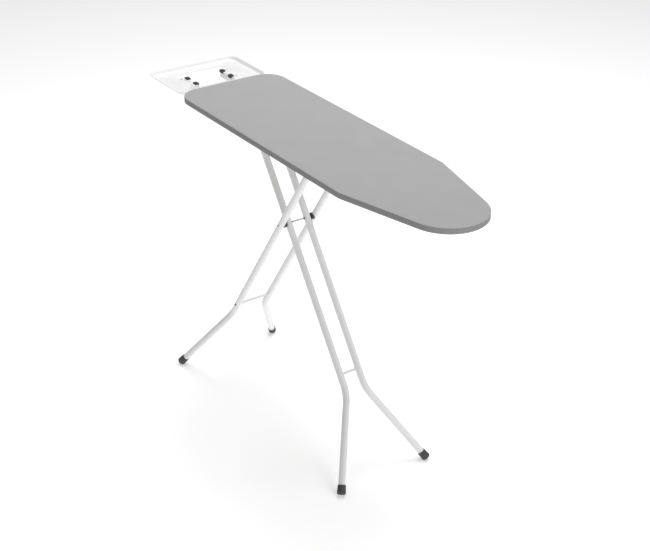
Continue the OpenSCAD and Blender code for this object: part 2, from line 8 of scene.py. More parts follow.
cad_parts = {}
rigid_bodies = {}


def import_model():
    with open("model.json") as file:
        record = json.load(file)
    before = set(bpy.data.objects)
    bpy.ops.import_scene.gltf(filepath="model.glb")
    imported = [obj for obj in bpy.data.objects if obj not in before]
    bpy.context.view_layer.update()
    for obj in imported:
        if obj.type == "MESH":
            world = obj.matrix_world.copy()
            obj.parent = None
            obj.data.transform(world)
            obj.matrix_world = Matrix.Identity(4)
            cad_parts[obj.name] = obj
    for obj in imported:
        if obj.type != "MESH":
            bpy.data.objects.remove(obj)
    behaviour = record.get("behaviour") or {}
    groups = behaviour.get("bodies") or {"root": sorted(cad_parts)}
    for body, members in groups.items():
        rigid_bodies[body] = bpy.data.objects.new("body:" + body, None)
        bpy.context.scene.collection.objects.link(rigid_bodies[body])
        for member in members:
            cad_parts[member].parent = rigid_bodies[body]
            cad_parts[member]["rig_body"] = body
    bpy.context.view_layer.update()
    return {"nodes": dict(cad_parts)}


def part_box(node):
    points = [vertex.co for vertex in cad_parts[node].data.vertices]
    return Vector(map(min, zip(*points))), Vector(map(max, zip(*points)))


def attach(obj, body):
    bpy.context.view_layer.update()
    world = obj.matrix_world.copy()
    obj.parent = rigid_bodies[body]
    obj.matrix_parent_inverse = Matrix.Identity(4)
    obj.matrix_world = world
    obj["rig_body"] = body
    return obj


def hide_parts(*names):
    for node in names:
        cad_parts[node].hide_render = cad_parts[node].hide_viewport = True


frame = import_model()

MM = 0.001

# ---------------------------------------------------------------- rim tube
# The frame of the board: square steel tube bent round the whole outline, white powder coat. The cover's
# hem wraps it, so that little of it shows. Every welded steel piece wears the same coat.


def new_group(name, inputs, outputs):
    """An empty shader group with its sockets; returns it with its input and output nodes."""
    group = bpy.data.node_groups.new(name, "ShaderNodeTree")
    for label, kind, value in inputs:
        socket = group.interface.new_socket(label, in_out="INPUT", socket_type="NodeSocket" + kind)
        socket.default_value = value
    for label, kind in outputs:
        group.interface.new_socket(label, in_out="OUTPUT", socket_type="NodeSocket" + kind)
    return group, group.nodes.new("NodeGroupInput"), group.nodes.new("NodeGroupOutput")


def add_math(tree, operation, *values):
    """A Math node fed by numbers or sockets; returns its output."""
    node = tree.nodes.new("ShaderNodeMath")
    node.operation = operation
    for socket, value in zip(node.inputs, values):
        if isinstance(value, bpy.types.NodeSocket):
            tree.links.new(value, socket)
        else:
            socket.default_value = value
    return node.outputs[0]


def add_noise(tree, vector, scale, detail=2.0, roughness=0.5):
    """A noise texture over a vector; the scale is a number or a socket. Returns its grey output."""
    node = tree.nodes.new("ShaderNodeTexNoise")
    node.inputs["Detail"].default_value = detail
    node.inputs["Roughness"].default_value = roughness
    tree.links.new(vector, node.inputs["Vector"])
    if isinstance(scale, bpy.types.NodeSocket):
        tree.links.new(scale, node.inputs["Scale"])
    else:
        node.inputs["Scale"].default_value = scale
    return node.outputs["Fac"]


def mix_colours(tree, share, first, second, blend="MIX"):
    """A Mix node for two colours, each a socket or a value; returns its output."""
    node = tree.nodes.new("ShaderNodeMix")
    node.data_type = "RGBA"
    node.blend_type = blend
    for label, value in (("Factor", share), ("A", first), ("B", second)):
        if isinstance(value, bpy.types.NodeSocket):
            tree.links.new(value, node.inputs[label])
        else:
            node.inputs[label].default_value = value
    return node.outputs["Result"]


def make_tone_group():
    """Uneven colour and gloss: broad soft patches under fine speckle."""
    group, given, made = new_group(
        "uneven_finish",
        [("Colour", "Color", (0.8, 0.8, 0.8, 1)), ("Second Colour", "Color", (0.7, 0.7, 0.7, 1)),
         ("Patch Scale", "Float", 9.0), ("Speckle Scale", "Float", 500.0), ("Amount", "Float", 0.5),
         ("Roughness", "Float", 0.4), ("Roughness Spread", "Float", 0.1)],
        [("Colour", "Color"), ("Roughness", "Float")])
    where = group.nodes.new("ShaderNodeTexCoord").outputs["Object"]
    patches = add_noise(group, where, given.outputs["Patch Scale"], 3.0)
    speckle = add_noise(group, where, given.outputs["Speckle Scale"], 2.0)
    both = add_math(group, "ADD", add_math(group, "MULTIPLY", patches, 0.65),
                    add_math(group, "MULTIPLY", speckle, 0.35))
    spread = group.nodes.new("ShaderNodeMapRange")
    spread.inputs["From Min"].default_value = 0.32
    spread.inputs["From Max"].default_value = 0.68
    group.links.new(both, spread.inputs["Value"])
    share = add_math(group, "MULTIPLY", spread.outputs[0], given.outputs["Amount"])
    colour = mix_colours(group, share, given.outputs["Colour"], given.outputs["Second Colour"])
    group.links.new(colour, made.inputs["Colour"])
    centred = add_math(group, "SUBTRACT", both, 0.5)
    swing = add_math(group, "MULTIPLY", centred, given.outputs["Roughness Spread"])
    group.links.new(add_math(group, "ADD", given.outputs["Roughness"], swing), made.inputs["Roughness"])
    return group


def make_grain_group():
    """Height of a cast, sprayed or moulded skin: rounded bumps with finer ones on them."""
    group, given, made = new_group(
        "skin_grain", [("Scale", "Float", 600.0), ("Fine Share", "Float", 0.3)], [("Height", "Float")])
    where = group.nodes.new("ShaderNodeTexCoord").outputs["Object"]
    coarse = add_noise(group, where, given.outputs["Scale"], 1.0)
    fine = add_noise(group, where, add_math(group, "MULTIPLY", given.outputs["Scale"], 4.0), 1.0)
    group.links.new(
        add_math(group, "ADD", coarse, add_math(group, "MULTIPLY", fine, given.outputs["Fine Share"])),
        made.inputs["Height"])
    return group


def make_wear_group():
    """Mask of the edges that hands and floors rub: sharp outer edges, broken up by noise."""
    group, given, made = new_group(
        "rubbed_edges", [("Start", "Float", 0.52), ("Amount", "Float", 0.5)], [("Mask", "Float")])
    where = group.nodes.new("ShaderNodeTexCoord").outputs["Object"]
    point = group.nodes.new("ShaderNodeNewGeometry").outputs["Pointiness"]
    rise = group.nodes.new("ShaderNodeMapRange")
    group.links.new(point, rise.inputs["Value"])
    group.links.new(given.outputs["Start"], rise.inputs["From Min"])
    group.links.new(add_math(group, "ADD", given.outputs["Start"], 0.08), rise.inputs["From Max"])
    broken = add_math(group, "MULTIPLY", rise.outputs[0], add_noise(group, where, 90.0, 3.0))
    group.links.new(add_math(group, "MULTIPLY", broken, given.outputs["Amount"]), made.inputs["Mask"])
    return group


UNEVEN = make_tone_group()
GRAIN = make_grain_group()
RUBBED = make_wear_group()


def add_group(tree, group, **values):
    """Places a group in a material; an underscore in a value's name stands for a space."""
    node = tree.nodes.new("ShaderNodeGroup")
    node.node_tree = group
    for label, value in values.items():
        node.inputs[label.replace("_", " ")].default_value = value
    return node


def finish_material(name, colour, second, roughness, spread, grain_scale, grain_depth, amount=0.5,
                    speckle=500.0, patch=9.0, edge_colour=None, edge_amount=0.5, **constants):
    """Material with an uneven colour and gloss, a grained skin and, where asked, rubbed edges."""
    material = bpy.data.materials.new(name)
    material.use_nodes = True
    tree = material.node_tree
    shader = tree.nodes["Principled BSDF"]
    tone = add_group(tree, UNEVEN, Colour=(*colour, 1), Second_Colour=(*second, 1), Patch_Scale=patch,
                     Speckle_Scale=speckle, Amount=amount, Roughness=roughness, Roughness_Spread=spread)
    tree.links.new(tone.outputs["Roughness"], shader.inputs["Roughness"])
    shade = tone.outputs["Colour"]
    if edge_colour:
        mask = add_group(tree, RUBBED, Amount=edge_amount).outputs["Mask"]
        shade = mix_colours(tree, mask, shade, (*edge_colour, 1))
    tree.links.new(shade, shader.inputs["Base Color"])
    grain = add_group(tree, GRAIN, Scale=grain_scale)
    bump = tree.nodes.new("ShaderNodeBump")
    bump.inputs["Distance"].default_value = grain_depth
    tree.links.new(grain.outputs["Height"], bump.inputs["Height"])
    tree.links.new(bump.outputs["Normal"], shader.inputs["Normal"])
    for label, value in constants.items():
        shader.inputs[label.replace("_", " ")].default_value = value
    return material


white_coat = finish_material("white_powder_coat", (0.87, 0.87, 0.88), (0.83, 0.83, 0.84), 0.30, 0.16,
                             grain_scale=620.0, grain_depth=0.05 * MM, edge_colour=(0.90, 0.90, 0.90),
                             edge_amount=0.4, Coat_Weight=0.15, Coat_Roughness=0.2)


def dress(node, material):
    """Gives a CAD node that keeps its shape its finish."""
    piece = frame["nodes"][node]
    piece.data.materials.clear()
    piece.data.materials.append(material)
    return piece


dress("rim_tube", white_coat)

# ---------------------------------------------------------------- mesh panel
# Flat expanded steel inside the rim tube, which carries the pad and lets the steam out downwards. It is
# one sheet, slit and pulled into diamonds, with an uncut band left where it is welded to the rim.

TAIL, LENGTH, HALF_WIDTH = -0.450, 1.1, 0.165
TAIL_CORNER = Vector((-0.389, 0.104, 0))
TAPER_CENTRE, NOSE_CENTRE = Vector((0.3255, 0.105, 0)), Vector((0.541, 0, 0))
TAIL_R, TAPER_R, NOSE_R = 0.061, 0.060, 0.109
towards_nose = NOSE_CENTRE - TAPER_CENTRE
TAPER_ANGLE = (math.atan2(towards_nose.y, towards_nose.x)
               + math.acos((TAPER_R - NOSE_R) / towards_nose.length))


def board_face(inset, height, steps=(12, 4, 26)):
    """A bmesh with one face: the outline of the board, moved inwards by inset, at a height."""
    bm = bmesh.new()
    arcs = ((TAIL_CORNER, TAIL_R, math.pi, math.pi / 2, steps[0]),
            (TAPER_CENTRE, TAPER_R, math.pi / 2, TAPER_ANGLE, steps[1]),
            (NOSE_CENTRE, NOSE_R, TAPER_ANGLE, 0, steps[2]))
    end = None
    for centre, radius, start, stop, count in arcs:
        centre = centre + Vector((0, 0, height))
        place = centre + (radius - inset) * Vector((math.cos(start), math.sin(start), 0))
        if end is None:
            end = bmesh.ops.create_vert(bm, co=place)["vert"][0]
        else:
            end = next(v for v in bmesh.ops.extrude_vert_indiv(bm, verts=[end])["verts"])
            end.co = place
        turned = bmesh.ops.spin(bm, geom=[end], cent=centre, axis=(0, 0, 1), angle=stop - start, steps=count)
        end = turned["geom_last"][0]
    bmesh.ops.mirror(bm, geom=bm.verts[:] + bm.edges[:], matrix=Matrix.Identity(4), merge_dist=1e-5, axis="Y")
    open_ends = [v for v in bm.verts if len(v.link_edges) == 1]
    bm.edges.new(open_ends)
    bmesh.ops.edgeloop_fill(bm, edges=bm.edges[:])
    face_up(bm)
    return bm


def face_up(bm):
    """Turns flat faces so that they look up."""
    bm.normal_update()
    down = [f for f in bm.faces if f.normal.z < 0]
    if down:
        bmesh.ops.reverse_faces(bm, faces=down)
    bm.normal_update()


def cut_all(bm, point, normal):
    """Cuts every face with a plane."""
    bmesh.ops.bisect_plane(bm, geom=bm.verts[:] + bm.edges[:] + bm.faces[:], dist=1e-7,
                           plane_co=point, plane_no=normal)


def pour(source, target):
    """Adds what one bmesh holds to another; the source is used up."""
    holder = bpy.data.meshes.new("holder")
    source.to_mesh(holder)
    source.free()
    target.from_mesh(holder)
    bpy.data.meshes.remove(holder)


def make_piece(name, bm, body, material, stands_for=(), smooth=35):
    """Turns a finished bmesh into a piece of the object that rides on a body."""
    mesh = bpy.data.meshes.new(name)
    bm.to_mesh(mesh)
    bm.free()
    mesh.shade_smooth()
    mesh.set_sharp_from_angle(angle=math.radians(smooth))
    mesh.materials.append(material)
    piece = bpy.data.objects.new(name, mesh)
    bpy.context.scene.collection.objects.link(piece)
    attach(piece, body)
    if stands_for:
        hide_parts(*stands_for)
    return piece


panel_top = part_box("mesh_panel")[1].z
SHEET, BAND = 0.8 * MM, 5 * MM
DIAMOND_LONG, DIAMOND_SHORT, STRAND = 18 * MM, 9 * MM, 1.7 * MM
bm = board_face(12.1 * MM, panel_top)
bmesh.ops.inset_region(bm, faces=bm.faces[:], thickness=BAND, use_even_offset=True)
open_area = max(bm.faces, key=lambda f: f.calc_area())
band = [f for f in bm.faces if f is not open_area]
bmesh.ops.split(bm, geom=band)
open_area = max(bm.faces, key=lambda f: f.calc_area())
band_mesh = bmesh.new()
inner = bmesh.new()
holder = bpy.data.meshes.new("holder")
bm.to_mesh(holder)
bm.free()
for target, keep_open in ((band_mesh, False), (inner, True)):
    target.from_mesh(holder)
    biggest = max(target.faces, key=lambda f: f.calc_area())
    bmesh.ops.delete(target, geom=[f for f in target.faces if (f is biggest) != keep_open], context="FACES")
bpy.data.meshes.remove(holder)
half_long, half_short = DIAMOND_LONG / 2, DIAMOND_SHORT / 2
pitch = 2 * half_long * half_short / math.hypot(half_long, half_short)
for side in (-1, 1):
    across = Vector((half_short, side * half_long, 0)).normalized()
    reach = [across.dot(v.co) for v in inner.verts]
    step = math.ceil(min(reach) / pitch)
    while step * pitch < max(reach):
        cut_all(inner, across * (step * pitch), across)
        step += 1
cells = [f for f in inner.faces if 2 * f.calc_area() / f.calc_perimeter() > 0.9 * STRAND]
bmesh.ops.inset_individual(inner, faces=cells, thickness=STRAND / 2, use_even_offset=True)
bmesh.ops.delete(inner, geom=cells, context="FACES")
for sheet_part in (inner, band_mesh):
    face_up(sheet_part)
    bmesh.ops.solidify(sheet_part, geom=sheet_part.faces[:], thickness=SHEET)
pour(band_mesh, inner)
bmesh.ops.recalc_face_normals(inner, faces=inner.faces[:])
mesh_coat = finish_material("mesh_steel", (0.70, 0.70, 0.71), (0.62, 0.62, 0.63), 0.42, 0.2,
                            grain_scale=700.0, grain_depth=0.05 * MM)
make_piece("expanded_mesh", inner, "board", mesh_coat, ("mesh_panel",), smooth=30)

# ---------------------------------------------------------------- cross straps
# Five flat steel bars welded across the frame under the mesh. Brackets, rack and iron rest are riveted
# to them. Their sheared edges are eased a little under the coat.


def merged_copy(node, join_flats=True):
    """A bmesh of a CAD node's shape, its doubles merged and, where asked, its flat faces joined."""
    bm = bmesh.new()
    bm.from_mesh(frame["nodes"][node].data)
    bmesh.ops.remove_doubles(bm, verts=bm.verts[:], dist=0.002 * MM)
    if join_flats:
        bmesh.ops.dissolve_limit(bm, angle_limit=math.radians(0.5), verts=bm.verts[:], edges=bm.edges[:])
    return bm


def round_edges(bm, edges, width, segments):
    """Rounds edges by width."""
    bmesh.ops.bevel(bm, geom=edges, offset=width, offset_type="OFFSET", segments=segments, profile=0.5,
                    affect="EDGES", material=-1, clamp_overlap=True)


def eased(node, width, material, segments=2):
    """A CAD node's shape with its edges rounded by width, in place of that node."""
    bm = merged_copy(node)
    corners = [e for e in bm.edges if len(e.link_faces) == 2 and e.calc_face_angle(0) > math.radians(30)]
    round_edges(bm, corners, width, segments)
    bmesh.ops.recalc_face_normals(bm, faces=bm.faces[:])
    make_piece(node + "_piece", bm, frame["nodes"][node]["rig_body"], material, (node,), smooth=40)


for node in ("strap_tail", "strap_hinge", "strap_rack_tail", "strap_lever", "strap_rack_nose"):
    eased(node, 0.5 * MM, white_coat)

# ---------------------------------------------------------------- foam pad
# A thin layer of open-cell foam between mesh and cover, cut to the outline. It is seen through the
# diamonds from below.

pad_low, pad_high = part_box("foam_pad")
bm = board_face(1.4 * MM, pad_low.z + 0.1 * MM)
pad_top = bmesh.ops.extrude_face_region(bm, geom=bm.faces[:])["geom"]
bmesh.ops.translate(bm, vec=(0, 0, pad_high.z - pad_low.z - 0.2 * MM),
                    verts=[g for g in pad_top if isinstance(g, bmesh.types.BMVert)])
bmesh.ops.recalc_face_normals(bm, faces=bm.faces[:])
round_edges(bm, [e for e in bm.edges if e.calc_face_angle(0) > math.radians(60)], 1.2 * MM, segments=3)
foam = finish_material("foam", (0.80, 0.76, 0.63), (0.70, 0.66, 0.53), 0.92, 0.05, grain_scale=900.0,
                       grain_depth=0.5 * MM, amount=0.7, speckle=900.0)
pad = make_piece("pad", bm, "board", foam, ("foam_pad",))

# ---------------------------------------------------------------- cover
# Plain grey cotton, cut to the outline with an allowance for the edge and the hem, pulled tight over the
# pad and turned in under the rim. Below its top edge the colour is painted darker as painted shade on the
# side band, and the hem gathers a little where the outline curves.

COTTON = 0.9 * MM
EDGE_R, HEM_R, HEM = 2.2 * MM, 1.2 * MM, 25 * MM
cover_low, cover_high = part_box("cover")
EDGE = cover_high.z - cover_low.z
GATHER_LENGTH, GATHER = 9 * MM, 0.9 * MM
CELL, EDGE_STEPS, HEM_STEPS, DIP = 11 * MM, 3, 5, 0.25 * MM
bm = board_face(EDGE_R, cover_high.z, steps=(16, 4, 36))
for axis, low, high in ((0, TAIL, TAIL + LENGTH), (1, -HALF_WIDTH, HALF_WIDTH)):
    count = round((high - low) / CELL)
    direction = Vector((1, 0, 0)) if axis == 0 else Vector((0, 1, 0))
    for i in range(1, count):
        cut_all(bm, direction * (low + (high - low) * i / count), direction)
face_up(bm)
flat_place = {v: Vector((v.co.x, v.co.y)) for v in bm.verts}


def outwards(vert, edges):
    """Direction away from the board at a vertex of its edge loop."""
    total = Vector((0, 0, 0))
    for edge in vert.link_edges:
        if edge in edges:
            along = edge.verts[1].co - edge.verts[0].co
            side = Vector((along.y, -along.x, 0))
            middle = (edge.verts[0].co + edge.verts[1].co) / 2
            away = middle - Vector((min(max(middle.x, TAIL_CORNER.x), NOSE_CENTRE.x), 0, 0))
            total += side.normalized() * (1 if side.dot(away) > 0 else -1)
    return total.normalized()


loop = {e for e in bm.edges if e.is_boundary}
loop_verts = {v for e in loop for v in e.verts}
away = {v: outwards(v, loop) for v in loop_verts}
start = {v: v.co.copy() for v in loop_verts}
travel = {v: 0.0 for v in loop_verts}


def curve_share(place):
    """1 on the rounded tail corners and the nose, 0 on the straight sides."""
    if place.x > NOSE_CENTRE.x:
        return 1.0
    if place.x < TAIL_CORNER.x and abs(place.y) > TAIL_CORNER.y:
        return 1.0
    return 0.0


profile = [(EDGE_R * math.sin(a), -EDGE_R * (1 - math.cos(a))) for a in
           [math.radians(t) for t in (22.5, 45, 67.5, 90)]]
profile += [(EDGE_R, -EDGE_R - (EDGE - EDGE_R - HEM_R) * k / EDGE_STEPS)
            for k in range(1, EDGE_STEPS + 1)]
profile += [(EDGE_R - HEM_R * (1 - math.cos(a)), -EDGE + HEM_R - HEM_R * math.sin(a)) for a in
            [math.radians(t) for t in (30, 60, 90)]]
profile += [(EDGE_R - HEM_R - (HEM - HEM_R) * k / HEM_STEPS, -EDGE)
            for k in range(1, HEM_STEPS + 1)]
turned_in = len(profile) - HEM_STEPS
last = (0.0, 0.0)
for k, (out, drop) in enumerate(profile):
    result = bmesh.ops.extrude_edge_only(bm, edges=list(loop))["geom"]
    fresh = [g for g in result if isinstance(g, bmesh.types.BMVert)]
    moved = {}
    for v in fresh:
        old = min((e.other_vert(v) for e in v.link_edges if e.other_vert(v) in loop_verts),
                  key=lambda o: (o.co - v.co).length)
        moved[v] = old
    length = math.hypot(out - last[0], drop - last[1])
    away = {v: away[o] for v, o in moved.items()}
    start = {v: start[o] for v, o in moved.items()}
    travel = {v: travel[o] + length for v, o in moved.items()}
    for v in fresh:
        place = start[v] + away[v] * out
        lift = 0.0
        if k >= turned_in:
            depth = (k - turned_in + 1) / HEM_STEPS
            angle = math.atan2(away[v].y, away[v].x)
            radius = NOSE_R if place.x > 0 else TAIL_R
            lift = GATHER * depth * curve_share(start[v]) * math.sin(
                2 * math.pi * angle * radius / GATHER_LENGTH)
        v.co = Vector((place.x, place.y, cover_high.z + drop + lift))
        flat_place[v] = Vector((start[v].x, start[v].y)) + Vector((away[v].x, away[v].y)) * travel[v]
    loop = {g for g in result if isinstance(g, bmesh.types.BMEdge) and all(v in moved for v in g.verts)}
    loop_verts = set(fresh)
    last = (out, drop)
for v in bm.verts:
    if v.normal.z > 0.9 and v.co.z > cover_high.z - 0.01 * MM:
        v.co.z -= DIP * (1 + math.sin(v.co.x * 31) * math.cos(v.co.y * 47 + v.co.x * 13)) / 2
flat_uv = bm.loops.layers.uv.new("flat_cut")
for f in bm.faces:
    for corner in f.loops:
        corner[flat_uv].uv = flat_place[corner.vert]
bmesh.ops.recalc_face_normals(bm, faces=bm.faces[:])


def make_weave_group():
    """Plain weave on flat-cut coordinates: thread height, masks of crosswise threads and slubs."""
    group, given, made = new_group("plain_weave", [("Pitch", "Float", 0.0005)],
                                   [("Height", "Float"), ("Crosswise", "Float"), ("Slubs", "Float")])
    place = group.nodes.new("ShaderNodeUVMap")
    place.uv_map = "flat_cut"
    split = group.nodes.new("ShaderNodeSeparateXYZ")
    group.links.new(place.outputs["UV"], split.inputs[0])
    waves = []
    for axis in ("X", "Y"):
        turns = add_math(group, "DIVIDE", split.outputs[axis], given.outputs["Pitch"])
        waves.append(add_math(group, "SINE", add_math(group, "MULTIPLY", turns, math.pi)))
    over = add_math(group, "GREATER_THAN", add_math(group, "MULTIPLY", *waves), 0.0)
    lengthwise, crosswise = (add_math(group, "ABSOLUTE", w) for w in waves)
    first = add_math(group, "MULTIPLY", over, crosswise)
    second = add_math(group, "MULTIPLY", add_math(group, "SUBTRACT", 1.0, over), lengthwise)
    group.links.new(add_math(group, "ADD", first, second), made.inputs["Height"])
    group.links.new(over, made.inputs["Crosswise"])
    stretch = group.nodes.new("ShaderNodeMapping")
    stretch.inputs["Scale"].default_value = (25.0, 900.0, 1.0)
    group.links.new(place.outputs["UV"], stretch.inputs["Vector"])
    group.links.new(add_noise(group, stretch.outputs[0], 1.0, 3.0), made.inputs["Slubs"])
    return group


cotton = bpy.data.materials.new("cover_cotton")
cotton.use_nodes = True
tree = cotton.node_tree
shader = tree.nodes["Principled BSDF"]
weave = add_group(tree, make_weave_group())
tone = add_group(tree, UNEVEN, Colour=(0.405, 0.405, 0.410, 1), Second_Colour=(0.375, 0.375, 0.381, 1),
                 Patch_Scale=14.0, Speckle_Scale=1400.0, Amount=0.6, Roughness=0.88, Roughness_Spread=0.08)
# Painted shade: below the top edge the cotton's colour is multiplied down by 24%, standing in for the shade
# on the sides.
PAINTED_SHADE_START = cover_high.z - 1.6 * MM
height = tree.nodes.new("ShaderNodeSeparateXYZ")
tree.links.new(tree.nodes.new("ShaderNodeTexCoord").outputs["Object"], height.inputs[0])
painted_side_shade = add_math(tree, "LESS_THAN", height.outputs["Z"], PAINTED_SHADE_START)
colour = tone.outputs["Colour"]
for mask, amount, tint in ((weave.outputs["Crosswise"], 0.35, 0.90), (weave.outputs["Slubs"], 0.3, 0.86),
                           (painted_side_shade, 0.24, 0.0)):
    colour = mix_colours(tree, add_math(tree, "MULTIPLY", mask, amount), colour, (tint, tint, tint, 1),
                         "MULTIPLY")
tree.links.new(colour, shader.inputs["Base Color"])
tree.links.new(tone.outputs["Roughness"], shader.inputs["Roughness"])
bump = tree.nodes.new("ShaderNodeBump")
bump.inputs["Distance"].default_value = 0.12 * MM
bump.inputs["Strength"].default_value = 0.6
tree.links.new(weave.outputs["Height"], bump.inputs["Height"])
tree.links.new(bump.outputs["Normal"], shader.inputs["Normal"])
shader.inputs["Sheen Weight"].default_value = 0.12
shader.inputs["Sheen Roughness"].default_value = 0.5
shader.inputs["Specular IOR Level"].default_value = 0.2

cover = make_piece("cotton_cover", bm, "board", cotton, ("cover",), smooth=60)
thick = cover.modifiers.new("cotton", "SOLIDIFY")
thick.thickness = COTTON
thick.offset = -1

# A row of stitches holds the folded edge of the hem, the thread just proud of the cotton.
STITCH, STITCH_GAP, THREAD_R, HEM_MARGIN = 2.4 * MM, 0.7 * MM, 0.22 * MM, 3 * MM


def walk_outline(inset, height, spacing):
    """Points and directions along the outline, moved inwards, at even spacing."""
    line = board_face(inset, height, steps=(24, 6, 48))
    line.faces.ensure_lookup_table()
    corners = [v.co.copy() for v in line.faces[0].verts]
    line.free()
    found, left = [], 0.0
    for a, b in zip(corners, corners[1:] + corners[:1]):
        length = (b - a).length
        while left < length:
            found.append((a.lerp(b, left / length), (b - a).normalized()))
            left += spacing
        left -= length
    return found


def copies(source, matrices):
    """A bmesh that holds a copy of the source at each matrix; the source is used up."""
    holder = bpy.data.meshes.new("holder")
    source.to_mesh(holder)
    source.free()
    bm = bmesh.new()
    for matrix in matrices:
        first = len(bm.verts)
        bm.from_mesh(holder)
        bm.verts.ensure_lookup_table()
        bmesh.ops.transform(bm, matrix=matrix, verts=bm.verts[first:])
    bpy.data.meshes.remove(holder)
    return bm


def facing(point, direction):
    """Matrix that puts the Z axis of a piece at a point, along a direction."""
    return Matrix.Translation(point) @ Vector(direction).to_track_quat("Z", "Y").to_matrix().to_4x4()


one = bmesh.new()
bmesh.ops.create_cone(one, cap_ends=True, segments=6, radius1=THREAD_R * 0.5, radius2=THREAD_R,
                      depth=STITCH / 2)
bmesh.ops.translate(one, vec=(0, 0, -STITCH / 4), verts=one.verts[:])
bmesh.ops.mirror(one, geom=one.verts[:] + one.edges[:] + one.faces[:], matrix=Matrix.Identity(4),
                 merge_dist=1e-7, axis="Z")
middle = [f for f in one.faces if abs(f.calc_center_median().z) < 1e-7]
bmesh.ops.delete(one, geom=middle, context="FACES")
bmesh.ops.remove_doubles(one, verts=one.verts[:], dist=1e-7)
bmesh.ops.recalc_face_normals(one, faces=one.faces[:])
row = walk_outline(HEM - HEM_MARGIN, cover_low.z - 0.02 * MM, STITCH + STITCH_GAP)
stitches = copies(one, [facing(*place) for place in row])
thread = finish_material("hem_thread", (0.30, 0.30, 0.31), (0.24, 0.24, 0.25), 0.85, 0.05,
                         grain_scale=2500.0, grain_depth=0.05 * MM)
make_piece("hem_stitching", stitches, "board", thread)

# ---------------------------------------------------------------- hinge of the inner legs
# Two pressed brackets riveted under the board carry a zinc-plated rod; the inner tubes turn on it between
# nylon washers, and a push-on cap closes each end of the rod.

zinc = finish_material("zinc_plate", (0.60, 0.61, 0.63), (0.50, 0.51, 0.53), 0.30, 0.25, grain_scale=260.0,
                       grain_depth=0.02 * MM, amount=0.6, speckle=180.0, edge_colour=(0.72, 0.72, 0.73),
                       Metallic=1.0)
nylon = finish_material("white_nylon", (0.80, 0.80, 0.77), (0.74, 0.74, 0.70), 0.45, 0.1, grain_scale=800.0,
                        grain_depth=0.03 * MM, Subsurface_Weight=0.15, Subsurface_Scale=0.002)
black_plastic = finish_material("black_plastic", (0.030, 0.030, 0.032), (0.042, 0.042, 0.044), 0.48, 0.2,
                                grain_scale=900.0, grain_depth=0.12 * MM, edge_colour=(0.10, 0.10, 0.10),
                                edge_amount=0.4)
for node in ("leg_bracket_left", "leg_bracket_right"):
    eased(node, 0.4 * MM, white_coat)
eased("hinge_rod", 0.6 * MM, zinc)
eased("hinge_washers", 0.25 * MM, nylon)


def turned(profile, steps=32):
    """A solid turned from a profile of (radius, height) points that starts and ends on the Z axis."""
    bm = bmesh.new()
    line = [bmesh.ops.create_vert(bm, co=(profile[0][0], 0, profile[0][1]))["vert"][0]]
    for radius, height in profile[1:]:
        line += bmesh.ops.extrude_vert_indiv(bm, verts=[line[-1]])["verts"]
        line[-1].co = (radius, 0, height)
    bmesh.ops.spin(bm, geom=bm.verts[:] + bm.edges[:], cent=(0, 0, 0), axis=(0, 0, 1), angle=2 * math.pi,
                   steps=steps, use_merge=True)
    bmesh.ops.remove_doubles(bm, verts=bm.verts[:], dist=1e-6)
    bmesh.ops.recalc_face_normals(bm, faces=bm.faces[:])
    return bm


def ends_of(node):
    """Middle of the two Y ends of a CAD node, each with the direction that looks outwards."""
    low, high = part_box(node)
    x, z = (low.x + high.x) / 2, (low.z + high.z) / 2
    return [(Vector((x, low.y, z)), Vector((0, -1, 0))), (Vector((x, high.y, z)), Vector((0, 1, 0)))]


def cap_profile(radius, length, dome):
    """Push-on cap: a collar, a straight skirt and a domed end at height 0."""
    return [(0, 0), (radius * 0.45, -dome * 0.12), (radius * 0.78, -dome * 0.45), (radius * 0.95, -dome),
            (radius, -dome * 1.6), (radius, -length + 0.5 * MM), (radius - 0.4 * MM, -length), (0, -length)]


caps = turned(cap_profile(6.2 * MM, 3.8 * MM, 1.2 * MM))
make_piece("hinge_caps", copies(caps, [facing(*e) for e in ends_of("hinge_rod_caps")]), "board",
           black_plastic, ("hinge_rod_caps",))

# ---------------------------------------------------------------- height rack
# Two pressed side plates, zinc plated, with a slot for the sliding bar and a row of notches over it. A
# moulded buffer stands between them at each end.

for node in ("rack_plate_left", "rack_plate_right"):
    eased(node, 0.3 * MM, zinc, segments=1)
for node in ("rack_stop_tail", "rack_stop_nose"):
    eased(node, 1.2 * MM, black_plastic, segments=3)

# ---------------------------------------------------------------- rivets
# Steel rivets through flange and strap. The closed head is a low dome with the mandrel's pit in it.

RIVET_HEAD, RIVET_RISE = 3.9 * MM, 1.6 * MM
rivet_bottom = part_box("rivets")[0].z
plain_rivets = merged_copy("rivets", join_flats=False)
rivet_places, left = [], set(plain_rivets.verts)
while left:
    island, edge = set(), [left.pop()]
    while edge:
        v = edge.pop()
        island.add(v)
        for e in v.link_edges:
            o = e.other_vert(v)
            if o in left:
                left.discard(o)
                edge.append(o)
    xs, ys = [v.co.x for v in island], [v.co.y for v in island]
    rivet_places.append(Vector(((min(xs) + max(xs)) / 2, (min(ys) + max(ys)) / 2, rivet_bottom)))
plain_rivets.free()
rivet_places.sort(key=lambda p: (round(p.x, 5), round(p.y, 5)))
rivet = turned([(0, -0.9 * MM), (1.1 * MM, -0.9 * MM), (1.3 * MM, -0.1 * MM), (1.7 * MM, 0),
                (2.8 * MM, -0.35 * MM), (3.6 * MM, -1.0 * MM), (RIVET_HEAD, -RIVET_RISE),
                (2.0 * MM, -RIVET_RISE), (2.0 * MM, -6 * MM), (0, -6 * MM)], steps=24)
make_piece("rivet_heads", copies(rivet, [facing(p, (0, 0, -1)) for p in rivet_places]), "board", zinc,
           ("rivets",))

# ---------------------------------------------------------------- release lever
# A shaft under the board with a pressed paddle near the edge, a moulded grip to pull, and a finger that
# rests over the sliding bar. A coiled spring beside the outer bracket turns it back.

eased("lever_bracket", 0.4 * MM, white_coat)
eased("lever_shaft", 0.5 * MM, zinc)
eased("lever_paddle", 0.35 * MM, white_coat, segments=1)
eased("latch_finger", 0.6 * MM, zinc)

